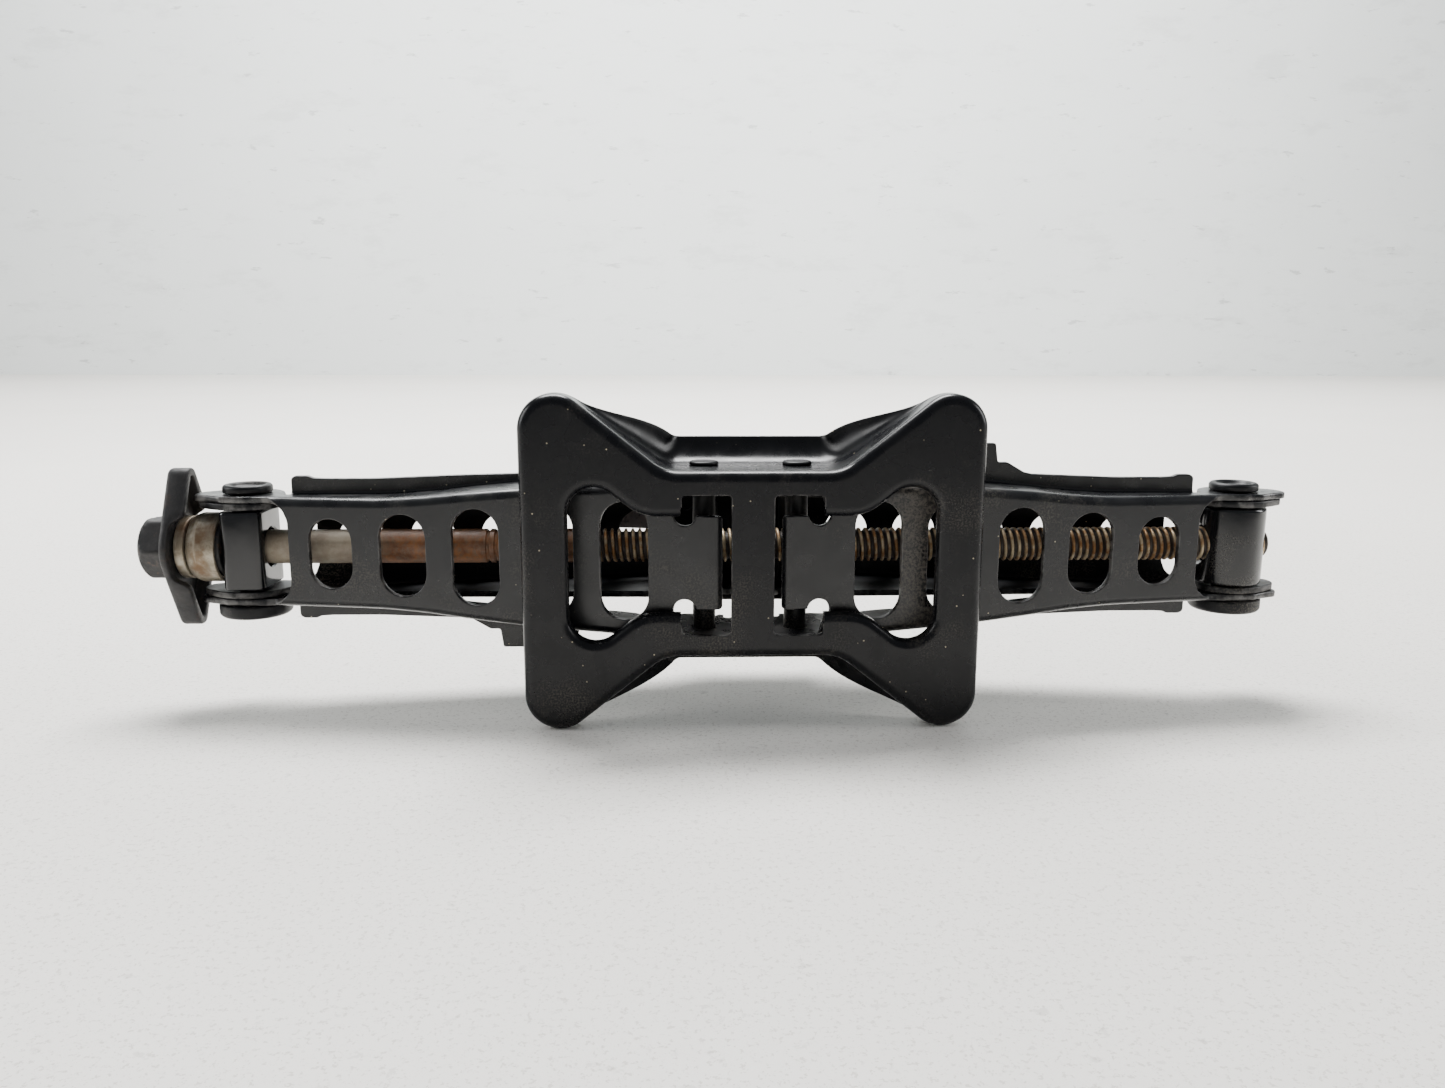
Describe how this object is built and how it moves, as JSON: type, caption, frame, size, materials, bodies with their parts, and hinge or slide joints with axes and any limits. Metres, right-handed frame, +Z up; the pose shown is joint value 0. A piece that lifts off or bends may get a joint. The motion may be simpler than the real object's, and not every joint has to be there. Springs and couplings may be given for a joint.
{
  "type": "scissor jack",
  "caption": "Pressed-steel screw-driven scissor jack, closed and lying on its edge, with pierced channel arms, a pan base, a saddle and a hex drive.",
  "frame": {"origin": "centre of the base's bearing face", "axes": "+X along the lead screw from the hex drive head to its free end, +Y the lifting direction from the base to the saddle, +Z across the jack; the jack lies on its long edge, so +Z is up"},
  "size_m": [0.4202, 0.0834, 0.1154],
  "materials": {
    "black_coat": "semi-gloss black electrocoat, dusty",
    "rusty_steel": "bare screw steel with rust and old grease",
    "worn_zinc": "dull yellow-brown zinc",
    "dark_iron": "matte dark grey oxide"
  },
  "bodies": {
    "base": {"base_plate": "black_coat", "base_left_pin": "black_coat", "base_right_pin": "black_coat"},
    "lower_left_arm": {"lower_left_arm": "black_coat"},
    "lower_right_arm": {"lower_right_arm": "black_coat"},
    "left_trunnion": {"left_trunnion_block": "black_coat", "left_trunnion_upper_rivet": "black_coat", "left_trunnion_lower_rivet": "black_coat", "thrust_bearing_race": "worn_zinc"},
    "right_trunnion": {"right_trunnion_nut": "black_coat", "right_trunnion_upper_rivet": "black_coat", "right_trunnion_lower_rivet": "black_coat"},
    "upper_left_arm": {"upper_left_arm": "black_coat"},
    "upper_right_arm": {"upper_right_arm": "black_coat"},
    "saddle": {"saddle": "black_coat", "saddle_left_pin": "black_coat", "saddle_right_pin": "black_coat"},
    "screw": {"lead_screw": "rusty_steel", "bearing_cup": "worn_zinc", "drive_washer": "worn_zinc", "drive_plate": "dark_iron", "hex_drive_head": "dark_iron"}
  },
  "joints": [
    {"name": "lower_left_fold", "type": "hinge", "parent": "base", "child": "lower_left_arm", "pos_m": [-0.0163, 0.0205, 0], "axis": [0, 0, -1], "range_deg": [0, 61]},
    {"name": "lower_right_fold", "type": "hinge", "parent": "base", "child": "lower_right_arm", "pos_m": [0.0163, 0.0205, 0], "axis": [0, 0, 1], "range_deg": [0, 61]},
    {"name": "left_trunnion_turn", "type": "hinge", "parent": "lower_left_arm", "child": "left_trunnion", "pos_m": [-0.1817, 0.0392, 0], "axis": [0, 0, 1], "range_deg": [0, 61]},
    {"name": "right_trunnion_turn", "type": "hinge", "parent": "lower_right_arm", "child": "right_trunnion", "pos_m": [0.1817, 0.0392, 0], "axis": [0, 0, -1], "range_deg": [0, 61]},
    {"name": "upper_left_fold", "type": "hinge", "parent": "lower_left_arm", "child": "upper_left_arm", "pos_m": [-0.1817, 0.0392, 0], "axis": [0, 0, 1], "range_deg": [0, 122]},
    {"name": "upper_right_fold", "type": "hinge", "parent": "lower_right_arm", "child": "upper_right_arm", "pos_m": [0.1817, 0.0392, 0], "axis": [0, 0, -1], "range_deg": [0, 122]},
    {"name": "saddle_turn", "type": "hinge", "parent": "upper_left_arm", "child": "saddle", "pos_m": [-0.0163, 0.0579, 0], "axis": [0, 0, -1], "range_deg": [0, 61]},
    {"name": "screw_turn", "type": "hinge", "parent": "left_trunnion", "child": "screw", "pos_m": [-0.1817, 0.0392, 0], "axis": [1, 0, 0], "range_deg": [0, 28975]}
  ],
  "couplings": [
    {"joint": "lower_left_fold", "follows": "screw_turn", "ratio": 0.002105},
    {"joint": "lower_right_fold", "follows": "screw_turn", "ratio": 0.002105},
    {"joint": "left_trunnion_turn", "follows": "screw_turn", "ratio": 0.002105},
    {"joint": "right_trunnion_turn", "follows": "screw_turn", "ratio": 0.002105},
    {"joint": "upper_left_fold", "follows": "screw_turn", "ratio": 0.00421},
    {"joint": "upper_right_fold", "follows": "screw_turn", "ratio": 0.00421},
    {"joint": "saddle_turn", "follows": "screw_turn", "ratio": 0.002105}
  ]
}
